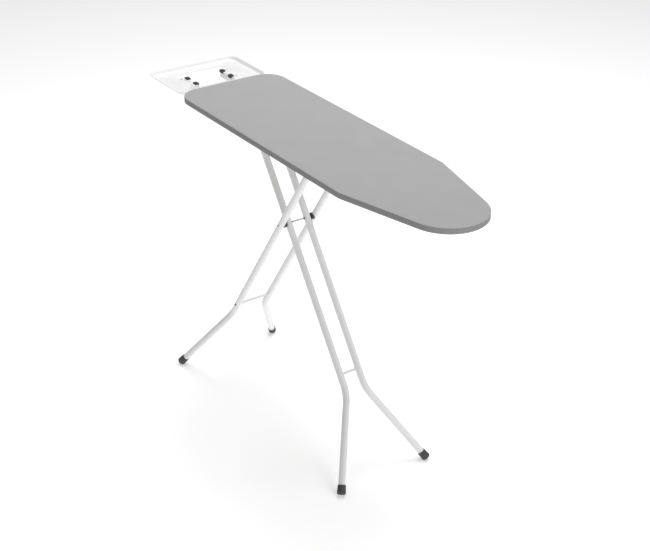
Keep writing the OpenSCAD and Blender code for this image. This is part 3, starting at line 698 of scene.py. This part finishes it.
bm = merged_copy("lever_grip")
outer = [e for e in bm.edges if e.calc_face_angle(0) > math.radians(30) and e.is_convex]
round_edges(bm, outer, 1.6 * MM, segments=4)
bmesh.ops.recalc_face_normals(bm, faces=bm.faces[:])
shaft_low, shaft_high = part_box("lever_shaft")
axis_point = Vector(((shaft_low.x + shaft_high.x) / 2, 0, (shaft_low.z + shaft_high.z) / 2))
grip_low, grip_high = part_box("lever_grip")
grip_middle = (grip_low + grip_high) / 2
along = Vector((grip_middle.x - axis_point.x, 0, grip_middle.z - axis_point.z)).normalized()
up = Vector((along.z, 0, -along.x))
up = up if up.z > 0 else -up
RIB_R, RIB_PITCH, GRIP_WIDTH = 0.8 * MM, 4.5 * MM, 30 * MM
rib = bmesh.new()
bmesh.ops.create_cone(rib, cap_ends=True, segments=10, radius1=RIB_R, radius2=RIB_R, depth=GRIP_WIDTH)
ends = [e for e in rib.edges if e.calc_face_angle(0) > math.radians(60)]
round_edges(rib, ends, 0.5 * MM, segments=2)
rib_places = [grip_middle + along * (k * RIB_PITCH) + up * (side * 2.9 * MM) for k in (-2, -1, 0, 1, 2)
              for side in (-1, 1)]
pour(copies(rib, [facing(p, (0, 1, 0)) for p in rib_places]), bm)
make_piece("pull_grip", bm, "lever", black_plastic, ("lever_grip",))

spring_low, spring_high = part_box("lever_spring")
WIRE_R, COILS, COIL_STEPS = 0.7 * MM, 8, 28
coil_r = (spring_high.x - spring_low.x) / 2 - WIRE_R
spring_length = spring_high.y - spring_low.y - 2 * WIRE_R
bm = bmesh.new()
wire = bmesh.ops.create_circle(bm, cap_ends=False, segments=10, radius=WIRE_R)["verts"]
coil_axis = Vector(((spring_low.x + spring_high.x) / 2, 0, (spring_low.z + spring_high.z) / 2))
bmesh.ops.translate(bm, vec=coil_axis + Vector((coil_r, spring_low.y + WIRE_R, 0)), verts=wire)
bmesh.ops.spin(bm, geom=wire + bm.edges[:], cent=coil_axis, axis=(0, 1, 0), angle=COILS * 2 * math.pi,
               dvec=(0, spring_length / (COILS * COIL_STEPS), 0), steps=COILS * COIL_STEPS)
bmesh.ops.holes_fill(bm, edges=[e for e in bm.edges if e.is_boundary], sides=10)
bmesh.ops.recalc_face_normals(bm, faces=bm.faces[:])
make_piece("return_spring", bm, "board", zinc, ("lever_spring",))

# ---------------------------------------------------------------- leg tubes
# Round steel tube, each bent outwards once near the floor and powder coated. The inner pair hangs from
# the hinge rod, the outer pair from the sliding bar, and all four cross at the pivot rod.

TUBE_R, TUBE_WALL = 10 * MM, 1.2 * MM
PAST_PIN, SOLE_GAP = 9 * MM, 14 * MM
BEND_Z, BEND_R = 0.210, 0.130
RING_STEPS = 48


def middle_of(node):
    """Middle of a rod in the X-Z plane."""
    low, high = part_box(node)
    return Vector(((low.x + high.x) / 2, 0, (low.z + high.z) / 2))


hinge, bar, pivot = middle_of("hinge_rod"), middle_of("sliding_bar"), middle_of("pivot_rod")


class Leg:
    """Where one leg runs: its frame has X down the leg from the top pin and Y away from its pair."""

    def __init__(self, pin, spread, foot_spread, side):
        self.side, self.spread = side, spread
        down = (pivot - pin).normalized()
        self.frame = Matrix.Translation(pin) @ Matrix((
            (down.x, 0, -down.z, 0), (0, 1, 0, 0), (down.z, 0, down.x, 0), (0, 0, 0, 1)))
        self.bend = (BEND_Z - pin.z) / down.z
        self.floor = -pin.z / down.z
        self.angle = math.atan2(foot_spread - spread, self.floor - self.bend)
        self.cut = BEND_R * math.tan(self.angle / 2)
        self.foot = Vector((self.floor, foot_spread, 0))
        self.flare = Vector((math.cos(self.angle), math.sin(self.angle), 0))

    def place(self, bm):
        """Moves a bmesh from the leg's frame to its place."""
        bmesh.ops.transform(bm, matrix=self.frame @ Matrix.Diagonal((1, self.side, 1, 1)), verts=bm.verts[:])
        bmesh.ops.recalc_face_normals(bm, faces=bm.faces[:])


def leg_tube(leg):
    """The tube itself: a ring drawn down to the bend, spun round it and drawn on to the foot."""
    bm = bmesh.new()
    ring = bmesh.ops.create_circle(bm, cap_ends=False, segments=RING_STEPS, radius=TUBE_R)["verts"]
    bmesh.ops.rotate(bm, cent=(0, 0, 0), matrix=Matrix.Rotation(math.pi / 2, 3, "Y"), verts=ring)
    bmesh.ops.translate(bm, vec=(-PAST_PIN, leg.spread, 0), verts=ring)

    def draw(edges, vector):
        made = bmesh.ops.extrude_edge_only(bm, edges=edges)["geom"]
        bmesh.ops.translate(bm, vec=vector, verts=[g for g in made if isinstance(g, bmesh.types.BMVert)])
        fresh = {g for g in made if isinstance(g, bmesh.types.BMVert)}
        return [g for g in made if isinstance(g, bmesh.types.BMEdge) and set(g.verts) <= fresh]

    edges = draw(bm.edges[:], (leg.bend - leg.cut + PAST_PIN, 0, 0))
    spun = bmesh.ops.spin(bm, geom=edges, cent=(leg.bend - leg.cut, leg.spread + BEND_R, 0), axis=(0, 0, 1),
                          angle=leg.angle, steps=14)
    edges = [g for g in spun["geom_last"] if isinstance(g, bmesh.types.BMEdge)]
    run = (leg.foot - Vector((leg.bend, leg.spread, 0))).length - leg.cut - SOLE_GAP
    draw(edges, leg.flare * run)
    bmesh.ops.remove_doubles(bm, verts=bm.verts[:], dist=1e-6)
    bmesh.ops.recalc_face_normals(bm, faces=bm.faces[:])
    bmesh.ops.solidify(bm, geom=bm.faces[:], thickness=TUBE_WALL)
    leg.place(bm)
    return bm


INNER_SPREAD, INNER_FOOT = 31.5 * MM, 154.5 * MM
OUTER_SPREAD, OUTER_FOOT = 57.0 * MM, 176.6 * MM
legs = {}
for pair, pin, spread, foot_spread in (("inner", hinge, INNER_SPREAD, INNER_FOOT),
                                       ("outer", bar, OUTER_SPREAD, OUTER_FOOT)):
    for side, word in ((1, "left"), (-1, "right")):
        leg = legs[pair, word] = Leg(pin, spread, foot_spread, side)
        make_piece(f"{pair}_leg_{word}", leg_tube(leg), pair + "_legs", white_coat,
                   (f"{pair}_tube_{word}",))

# ---------------------------------------------------------------- tube plugs
# Moulded plugs pressed into the top ends of the tubes. A low dome covers the wall of the tube, and a
# short stub below it sits in the bore.

plug_r = TUBE_R - 0.4 * MM
for pair in ("inner", "outer"):
    plug = turned([(0, 1.9 * MM), (plug_r * 0.6, 1.7 * MM), (plug_r - 0.8 * MM, 1.3 * MM), (plug_r, 0.5 * MM),
                   (plug_r, 0.05 * MM), (TUBE_R - 1.3 * MM, 0), (TUBE_R - 1.3 * MM, -3.6 * MM),
                   (TUBE_R - 1.9 * MM, -4.2 * MM), (0, -4.2 * MM)])
    matrices = []
    for word in ("left", "right"):
        leg = legs[pair, word]
        matrices.append(leg.frame @ Matrix.Diagonal((1, leg.side, 1, 1))
                        @ facing((-PAST_PIN, leg.spread, 0), (-1, 0, 0)))
    bm = copies(plug, matrices)
    bmesh.ops.recalc_face_normals(bm, faces=bm.faces[:])
    make_piece(f"{pair}_plugs", bm, pair + "_legs", black_plastic, (f"{pair}_end_plugs",))

# ---------------------------------------------------------------- lower crossbars
# A round bar across each pair of legs above the bend, coped to the tubes and welded all round. The outer
# one is also held by a screw through each tube.


def weld_collar(bar_r, width, height):
    """Weld bead at the end of a bar that runs along Z, widest at height 0."""
    return turned([(0, -1.2 * MM), (bar_r + height, -1.2 * MM), (bar_r + height, -0.2 * MM),
                   (bar_r + height * 0.75, width * 0.35), (bar_r + height * 0.35, width * 0.7),
                   (bar_r - 0.1 * MM, width), (0, width)], steps=24)


CROSSBAR_R = 4 * MM
for pair, spread in (("inner", INNER_SPREAD), ("outer", OUTER_SPREAD)):
    node = pair + "_crossbar"
    bm = merged_copy(node, join_flats=False)
    middle = middle_of(node)
    collars = copies(weld_collar(CROSSBAR_R, 2.6 * MM, 1.5 * MM),
                     [facing(Vector((middle.x, s * (spread - TUBE_R + 0.5 * MM), middle.z)), (0, -s, 0))
                      for s in (-1, 1)])
    pour(collars, bm)
    bmesh.ops.recalc_face_normals(bm, faces=bm.faces[:])
    make_piece(node + "_bar", bm, pair + "_legs", white_coat, (node,))

screw = turned([(0, -0.5 * MM), (1.3 * MM, -0.5 * MM), (1.5 * MM, 0), (2.4 * MM, -0.15 * MM),
                (3.2 * MM, -0.7 * MM), (3.4 * MM, -1.4 * MM), (3.4 * MM, -3.0 * MM), (0, -3.0 * MM)],
               steps=24)
make_piece("crossbar_screw_heads", copies(screw, [facing(*e) for e in ends_of("crossbar_screws")]),
           "outer_legs", black_plastic, ("crossbar_screws",))

# ---------------------------------------------------------------- foot caps
# Moulded rubber caps pushed over the tube ends: a thin sleeve with a closed end, rounded all round. Each
# stands on a small flat that the floor has pressed into the lower edge of its rounding.

foot_rubber = finish_material("foot_rubber", (0.060, 0.060, 0.062), (0.074, 0.074, 0.076), 0.62, 0.2,
                              grain_scale=520.0, grain_depth=0.15 * MM, edge_colour=(0.13, 0.13, 0.13),
                              edge_amount=0.3)
MOUTH, SLEEVE_R, TOE_R = 34 * MM, TUBE_R + 1.6 * MM, TUBE_R + 2.5 * MM
TOE_ROUND, TOE_DOME, PRESSED = 5 * MM, 0.5 * MM, 1.1 * MM
for (pair, word), leg in legs.items():
    steepness = abs((leg.frame.to_3x3() @ leg.flare).z)
    core = TOE_R - TOE_ROUND
    toe = -(core * math.sqrt(1 - steepness ** 2) + TOE_ROUND - PRESSED) / steepness
    groove = [(-27.0, 0.0), (-26.6, -0.45), (-25.8, -0.45), (-25.4, 0.0)]
    bm = turned([
        (0, -SOLE_GAP + 0.2 * MM), (TUBE_R + 0.05 * MM, -SOLE_GAP + 0.2 * MM), (TUBE_R + 0.05 * MM, -MOUTH),
        (SLEEVE_R - 0.8 * MM, -MOUTH), (SLEEVE_R - 0.25 * MM, 0.2 * MM - MOUTH),
        (SLEEVE_R, 0.8 * MM - MOUTH)]
        + [(SLEEVE_R + (0.25 + rise) * MM, place * MM) for place, rise in groove]
        + [(core + TOE_ROUND * math.cos(turn), toe + TOE_ROUND * math.sin(turn))
           for turn in [math.radians(9 * k) for k in range(11)]]
        + [(core * 0.5, toe + TOE_ROUND + 0.75 * TOE_DOME), (0, toe + TOE_ROUND + TOE_DOME)], steps=56)
    bmesh.ops.transform(bm, matrix=facing(leg.foot, leg.flare), verts=bm.verts[:])
    leg.place(bm)
    bmesh.ops.bisect_plane(bm, geom=bm.verts[:] + bm.edges[:] + bm.faces[:], dist=1e-6,
                           plane_co=(0, 0, 0.05 * MM), plane_no=(0, 0, 1), clear_inner=True)
    bmesh.ops.edgeloop_fill(bm, edges=[e for e in bm.edges if e.is_boundary])
    bmesh.ops.recalc_face_normals(bm, faces=bm.faces[:])
    make_piece(f"{pair}_cap_{word}", bm, pair + "_legs", foot_rubber,
               (f"{pair}_foot_{word}",))

# ---------------------------------------------------------------- pivot
# A thin zinc-plated rod through all four tubes. A moulded spacer sits between each inner and outer tube,
# its saddle round the outer one; domed nuts close the ends and push-on washers lie inside.

eased("pivot_rod", 0.5 * MM, zinc)
for node in ("pivot_spacer_left", "pivot_spacer_right"):
    eased(node, 0.9 * MM, black_plastic, segments=3)
eased("pivot_washers", 0.4 * MM, black_plastic)
nut = turned([(0, 0), (1.5 * MM, -0.15 * MM), (2.6 * MM, -0.6 * MM), (3.25 * MM, -1.3 * MM),
              (3.4 * MM, -2.0 * MM), (3.4 * MM, -2.5 * MM), (3.1 * MM, -2.8 * MM), (0, -2.8 * MM)])
make_piece("pivot_nuts", copies(nut, [facing(*e) for e in ends_of("pivot_cap_nuts")]), "inner_legs",
           zinc, ("pivot_cap_nuts",))

# ---------------------------------------------------------------- sliding bar
# A zinc-plated bar through the tops of the outer tubes that slides in the rack. Nylon collars keep it
# central between the plates, and a push-on cap closes each end.

eased("sliding_bar", 0.6 * MM, zinc)
eased("bar_rollers", 0.5 * MM, nylon)
bar_cap = turned(cap_profile(6.2 * MM, 5.3 * MM, 1.2 * MM))
make_piece("sliding_bar_caps", copies(bar_cap, [facing(*e) for e in ends_of("bar_caps")]), "outer_legs",
           black_plastic, ("bar_caps",))

# ---------------------------------------------------------------- iron rest
# One pressed steel sheet beyond the tail: a flat floor with a shaped opening and a flared wall all round,
# its edge turned flat. It stands on two arms, with black silicone pads clipped over the opening's tabs.

tray_low, tray_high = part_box("iron_rest_tray")
LIP, FLARE, TRAY_SHEET = 2 * MM, 7 * MM, 1.2 * MM
RIM_R = 29 * MM
tray_floor = tray_low.z + TRAY_SHEET / 2
corner_x = (tray_low.x + RIM_R, tray_high.x - RIM_R)
corner_y = tray_high.y - RIM_R


def rounded_face(bm, points, radius, height, steps):
    """One flat face through the points, every corner rounded by radius; returns its edges."""
    before = set(bm.edges)
    verts = [bmesh.ops.create_vert(bm, co=(x, y, height))["vert"][0] for x, y in points]
    edges = [bm.edges.new(pair) for pair in zip(verts, verts[1:] + verts[:1])]
    bmesh.ops.edgeloop_fill(bm, edges=edges)
    bmesh.ops.bevel(bm, geom=verts, offset=radius, offset_type="OFFSET", segments=steps, profile=0.5,
                    affect="VERTICES", material=-1, clamp_overlap=True)
    return [e for e in bm.edges if e not in before]


FILLET, FLAT_BAND, OPENING_R = 2.4 * MM, 1.0 * MM, 2.5 * MM
inner_r = RIM_R - LIP - FLARE
wall_top = tray_high.z - TRAY_SHEET / 2
start_r = inner_r - FILLET - FLAT_BAND
bm = bmesh.new()
far, near, half = corner_x[0] - start_r, corner_x[1] + start_r, corner_y + start_r
floor_edge = rounded_face(bm, [(far, half), (far, -half), (near, -half), (near, half)], start_r, tray_floor,
                          steps=12)
loop = floor_edge
for radius, height in (
        (inner_r - FILLET, tray_floor), (inner_r - FILLET * 0.35, tray_floor + FILLET * 0.15),
        (inner_r + FILLET * 0.25, tray_floor + FILLET * 0.55),
        (inner_r + FLARE - 1.9 * MM, wall_top - 1.6 * MM), (inner_r + FLARE - 1.0 * MM, wall_top - 0.5 * MM),
        (inner_r + FLARE, wall_top), (inner_r + FLARE + LIP - 0.6 * MM, wall_top - 0.1 * MM),
        (inner_r + FLARE + LIP - 0.1 * MM, wall_top - 0.5 * MM)):
    made = bmesh.ops.extrude_edge_only(bm, edges=loop)["geom"]
    fresh = {g for g in made if isinstance(g, bmesh.types.BMVert)}
    for v in fresh:
        centre = Vector((min(max(v.co.x, corner_x[0]), corner_x[1]),
                         min(max(v.co.y, -corner_y), corner_y), 0))
        away_from = Vector((v.co.x, v.co.y, 0)) - centre
        v.co = centre + away_from.normalized() * radius + Vector((0, 0, height))
    loop = [g for g in made if isinstance(g, bmesh.types.BMEdge) and set(g.verts) <= fresh]

SLOT_FAR, SLOT_NEAR = (-0.607, -0.580), (-0.507, -0.492)
SLOT_FAR_HALF, SLOT_NEAR_HALF, MIDDLE_HALF = 80 * MM, 89 * MM, 57 * MM
half_outline = [(SLOT_FAR[0], SLOT_FAR_HALF), (SLOT_FAR[1], SLOT_FAR_HALF), (SLOT_FAR[1], MIDDLE_HALF),
                (SLOT_NEAR[0], MIDDLE_HALF), (SLOT_NEAR[0], SLOT_NEAR_HALF), (SLOT_NEAR[1], SLOT_NEAR_HALF)]
opening = rounded_face(bm, half_outline + [(x, -y) for x, y in reversed(half_outline)], OPENING_R,
                       tray_floor, steps=4)
flat = [f for f in bm.faces if len(f.verts) > 4]
bmesh.ops.delete(bm, geom=flat, context="FACES_ONLY")
bmesh.ops.triangle_fill(bm, use_beauty=True, edges=floor_edge + opening)
bmesh.ops.recalc_face_normals(bm, faces=bm.faces[:])
tray = make_piece("tray", bm, "board", white_coat, ("iron_rest_tray",), smooth=50)
wall = tray.modifiers.new("sheet", "SOLIDIFY")
wall.thickness = TRAY_SHEET
wall.offset = 0
edge = tray.modifiers.new("edges", "BEVEL")
edge.width = 0.35 * MM
edge.segments = 2
edge.limit_method = "ANGLE"
edge.angle_limit = math.radians(50)

for node in ("iron_rest_arm_left", "iron_rest_arm_right"):
    eased(node, 0.5 * MM, white_coat)

silicone = finish_material("black_silicone", (0.022, 0.022, 0.023), (0.032, 0.032, 0.033), 0.55, 0.15,
                           grain_scale=700.0, grain_depth=0.06 * MM)
for node in ("rest_pad_far_left", "rest_pad_far_right", "rest_pad_near_left", "rest_pad_near_right"):
    eased(node, 1.1 * MM, silicone, segments=4)

# ---------------------------------------------------------------- tray screws
# Low-headed zinc-plated screws through the tray into the flanges of its arms, two on each side. Only
# their heads are shaped.

screw_low, screw_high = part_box("iron_rest_screws")
HEAD_R = 3.6 * MM
screw_x = (screw_low.x + HEAD_R, screw_high.x - HEAD_R)
screw_y = screw_high.y - HEAD_R
head = turned([(0, 1.6 * MM), (1.6 * MM, 1.5 * MM), (2.6 * MM, 1.2 * MM), (3.3 * MM, 0.6 * MM),
               (HEAD_R, 0.1 * MM), (HEAD_R, 0), (0, 0)], steps=24)
heads = copies(head, [Matrix.Translation((x, s * screw_y, screw_low.z)) for x in screw_x for s in (-1, 1)])
make_piece("tray_screws", heads, "board", zinc, ("iron_rest_screws",))

# ---------------------------------------------------------------- floor and light
# Not part of the object: a pale floor, a wide soft light overhead and a weaker one from the front. The
# floor glows a little, which keeps it near white.


def plain_material(name, colour, roughness, glow=0.0):
    """Pale, matt surface for the stage."""
    material = bpy.data.materials.new(name)
    material.use_nodes = True
    shader = material.node_tree.nodes["Principled BSDF"]
    shader.inputs["Base Color"].default_value = (*colour, 1)
    shader.inputs["Roughness"].default_value = roughness
    shader.inputs["Specular IOR Level"].default_value = 0.1
    shader.inputs["Emission Color"].default_value = (1, 1, 1, 1)
    shader.inputs["Emission Strength"].default_value = glow
    return material


FLOOR_HALF = 30.0
bm = bmesh.new()
bmesh.ops.create_grid(bm, x_segments=2, y_segments=2, size=FLOOR_HALF)
floor_mesh = bpy.data.meshes.new("floor")
bm.to_mesh(floor_mesh)
bm.free()
floor_mesh.materials.append(plain_material("pale_floor", (0.86, 0.86, 0.86), 0.9, glow=0.40))
floor = bpy.data.objects.new("floor", floor_mesh)
bpy.context.scene.collection.objects.link(floor)


def soft_light(name, place, aim, size, power):
    """A square soft light that looks at a point."""
    lamp = bpy.data.lights.new(name, "AREA")
    lamp.shape = "SQUARE"
    lamp.size = size
    lamp.energy = power
    light = bpy.data.objects.new(name, lamp)
    light.location = place
    light.rotation_mode = "QUATERNION"
    light.rotation_quaternion = (Vector(aim) - Vector(place)).to_track_quat("-Z", "Y")
    bpy.context.scene.collection.objects.link(light)
    return light


soft_light("overhead", place=(-0.6, 0.9, 4.2), aim=(0.1, 0, 0.4), size=3.2, power=138)
soft_light("front", place=(4.2, 0.0, 1.5), aim=(0.1, 0, 0.5), size=2.0, power=44)
world = bpy.data.worlds.new("studio")
world.use_nodes = True
world.node_tree.nodes["Background"].inputs["Color"].default_value = (1, 1, 1, 1)
world.node_tree.nodes["Background"].inputs["Strength"].default_value = 0.27
bpy.context.scene.world = world
bpy.context.scene.view_settings.view_transform = "Standard"

# ---------------------------------------------------------------- camera
# Looks down from 2.3 m above the ground, from beyond the nose and off to the right of the board, with a
# long lens and a slight roll.

AZIMUTH, ELEVATION, ROLL = math.radians(53.848), math.radians(28.967), math.radians(1.247)
DISTANCE, AIM = 3.7893, Vector((0.100, 0, 0.46075))
OFF_SIDE, OFF_UP = -0.02317, 0.05673
back = Vector((math.sin(AZIMUTH) * math.cos(ELEVATION), -math.cos(AZIMUTH) * math.cos(ELEVATION),
               math.sin(ELEVATION)))
level = Vector((math.cos(AZIMUTH), math.sin(AZIMUTH), 0))
upright = back.cross(level)
right = level * math.cos(ROLL) + upright * math.sin(ROLL)
above = upright * math.cos(ROLL) - level * math.sin(ROLL)
eye = bpy.data.cameras.new("camera")
eye.sensor_width = 36.0
eye.lens = 75.53
eye.clip_end = 200.0
camera = bpy.data.objects.new("camera", eye)
spot = AIM + back * DISTANCE + right * OFF_SIDE + above * OFF_UP
camera.matrix_world = Matrix((
    (right.x, above.x, back.x, spot.x), (right.y, above.y, back.y, spot.y),
    (right.z, above.z, back.z, spot.z), (0, 0, 0, 1)))
bpy.context.scene.collection.objects.link(camera)
bpy.context.scene.camera = camera
